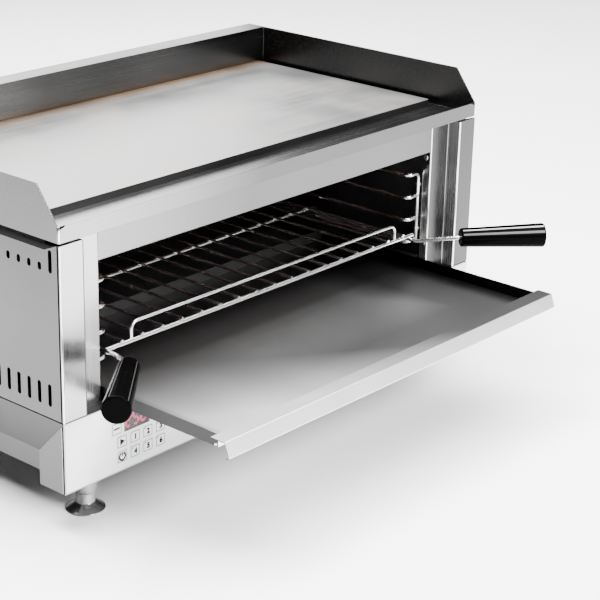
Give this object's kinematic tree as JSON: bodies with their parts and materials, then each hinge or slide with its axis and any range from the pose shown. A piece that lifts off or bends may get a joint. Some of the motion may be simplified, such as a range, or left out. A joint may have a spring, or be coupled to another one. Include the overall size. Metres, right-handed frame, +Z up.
{
  "type": "griddle salamander",
  "caption": "Countertop griddle salamander: flat griddle with splash guards over an open grill cavity with a sliding wire rack, pull-out drip tray, key panel and levelling feet.",
  "frame": {"origin": "on the floor under the feet, at the middle of the box around the whole part in plan", "axes": "+X to the right as seen from the front, +Y to the back, +Z up"},
  "size_m": [0.7594, 0.5837, 0.3815],
  "materials": {
    "casing_steel": "fine brushed",
    "side_steel": "fine brushed",
    "tray_steel": "smooth rolled",
    "griddle_steel": "ground, tinted by heat",
    "cavity_steel": "dark satin",
    "wire_steel": "bright plated",
    "heater_sheath": "dull, heat stained",
    "inner_steel": "bright zinc",
    "foot_steel": "turned",
    "screw_steel": "plated",
    "grip_black": "polished",
    "panel_film": "satin",
    "key_grey": "satin",
    "window_smoke": "clear, smoked",
    "module_black": "satin",
    "board_green": "satin",
    "gasket_black": "matt",
    "gland_black": "satin",
    "insulation_wool": "fibrous",
    "heat_sink": "extruded",
    "terminal_cream": "satin",
    "thermostat_body": "satin"
  },
  "bodies": {
    "housing": {"front_post_left": "casing_steel", "front_post_right": "casing_steel", "fascia": "casing_steel", "side_panel_left": "side_steel", "side_panel_right": "side_steel", "back_panel": "side_steel", "back_screws": "screw_steel", "base_pan": "side_steel", "control_box": "casing_steel", "control_panel": "panel_film", "display_window": "window_smoke", "display_module": "module_black", "control_board": "board_green", "splash_surround": "casing_steel", "rim_seals": "gasket_black", "surround_gasket": "gasket_black", "griddle_plate": "griddle_steel", "griddle_element_left": "heater_sheath", "griddle_element_right": "heater_sheath", "element_clamp_plate": "inner_steel", "clamp_studs": "screw_steel", "plate_probe": "screw_steel", "cavity_liner": "cavity_steel", "cavity_insulation": "insulation_wool", "grill_element_front": "heater_sheath", "grill_element_middle": "heater_sheath", "grill_element_rear": "heater_sheath", "element_hangers": "inner_steel", "liner_screws": "screw_steel", "rack_ladder_left": "wire_steel", "rack_ladder_right": "wire_steel", "tray_guide_left": "cavity_steel", "tray_guide_right": "cavity_steel", "foot_nuts": "screw_steel", "cable_gland": "gland_black", "power_relay": "heat_sink", "terminal_block": "terminal_cream", "safety_thermostat": "thermostat_body"},
    "wire_rack": {"rack_rod_left": "wire_steel", "rack_rod_right": "wire_steel", "rack_cross_wires": "wire_steel", "rack_bars": "wire_steel", "rack_guard_wire": "wire_steel", "rack_grip_left": "grip_black", "rack_grip_right": "grip_black"},
    "drip_tray": {"crumb_tray": "tray_steel"},
    "front_left_foot": {"foot_front_left": "foot_steel"},
    "front_right_foot": {"foot_front_right": "foot_steel"},
    "rear_left_foot": {"foot_rear_left": "foot_steel"},
    "rear_right_foot": {"foot_rear_right": "foot_steel"},
    "minus_key": {"key_minus": "key_grey"},
    "plus_key": {"key_plus": "key_grey"},
    "start_key": {"key_start": "key_grey"},
    "power_key": {"key_power": "key_grey"},
    "one_key": {"key_1": "key_grey"},
    "two_key": {"key_2": "key_grey"},
    "three_key": {"key_3": "key_grey"},
    "four_key": {"key_4": "key_grey"},
    "five_key": {"key_5": "key_grey"},
    "six_key": {"key_6": "key_grey"}
  },
  "joints": [
    {"name": "rack_slide", "type": "slide", "parent": "housing", "child": "wire_rack", "axis": [0, -1, 0], "range_m": [0, 0.24]},
    {"name": "tray_slide", "type": "slide", "parent": "housing", "child": "drip_tray", "axis": [0, -1, 0], "range_m": [-0.165, 0.1]},
    {"name": "front_left_foot_screw", "type": "slide", "parent": "housing", "child": "front_left_foot", "axis": [0, 0, -1], "range_m": [0, 0.015]},
    {"name": "front_right_foot_screw", "type": "slide", "parent": "housing", "child": "front_right_foot", "axis": [0, 0, -1], "range_m": [0, 0.015]},
    {"name": "rear_left_foot_screw", "type": "slide", "parent": "housing", "child": "rear_left_foot", "axis": [0, 0, -1], "range_m": [0, 0.015]},
    {"name": "rear_right_foot_screw", "type": "slide", "parent": "housing", "child": "rear_right_foot", "axis": [0, 0, -1], "range_m": [0, 0.015]},
    {"name": "minus_key_press", "type": "slide", "parent": "housing", "child": "minus_key", "axis": [0, 1, 0], "range_m": [0, 0.0004], "stiffness_N_per_m": 2500, "springref_m": -0.0004},
    {"name": "plus_key_press", "type": "slide", "parent": "housing", "child": "plus_key", "axis": [0, 1, 0], "range_m": [0, 0.0004], "stiffness_N_per_m": 2500, "springref_m": -0.0004},
    {"name": "start_key_press", "type": "slide", "parent": "housing", "child": "start_key", "axis": [0, 1, 0], "range_m": [0, 0.0004], "stiffness_N_per_m": 2500, "springref_m": -0.0004},
    {"name": "power_key_press", "type": "slide", "parent": "housing", "child": "power_key", "axis": [0, 1, 0], "range_m": [0, 0.0004], "stiffness_N_per_m": 2500, "springref_m": -0.0004},
    {"name": "one_key_press", "type": "slide", "parent": "housing", "child": "one_key", "axis": [0, 1, 0], "range_m": [0, 0.0004], "stiffness_N_per_m": 2500, "springref_m": -0.0004},
    {"name": "two_key_press", "type": "slide", "parent": "housing", "child": "two_key", "axis": [0, 1, 0], "range_m": [0, 0.0004], "stiffness_N_per_m": 2500, "springref_m": -0.0004},
    {"name": "three_key_press", "type": "slide", "parent": "housing", "child": "three_key", "axis": [0, 1, 0], "range_m": [0, 0.0004], "stiffness_N_per_m": 2500, "springref_m": -0.0004},
    {"name": "four_key_press", "type": "slide", "parent": "housing", "child": "four_key", "axis": [0, 1, 0], "range_m": [0, 0.0004], "stiffness_N_per_m": 2500, "springref_m": -0.0004},
    {"name": "five_key_press", "type": "slide", "parent": "housing", "child": "five_key", "axis": [0, 1, 0], "range_m": [0, 0.0004], "stiffness_N_per_m": 2500, "springref_m": -0.0004},
    {"name": "six_key_press", "type": "slide", "parent": "housing", "child": "six_key", "axis": [0, 1, 0], "range_m": [0, 0.0004], "stiffness_N_per_m": 2500, "springref_m": -0.0004}
  ]
}
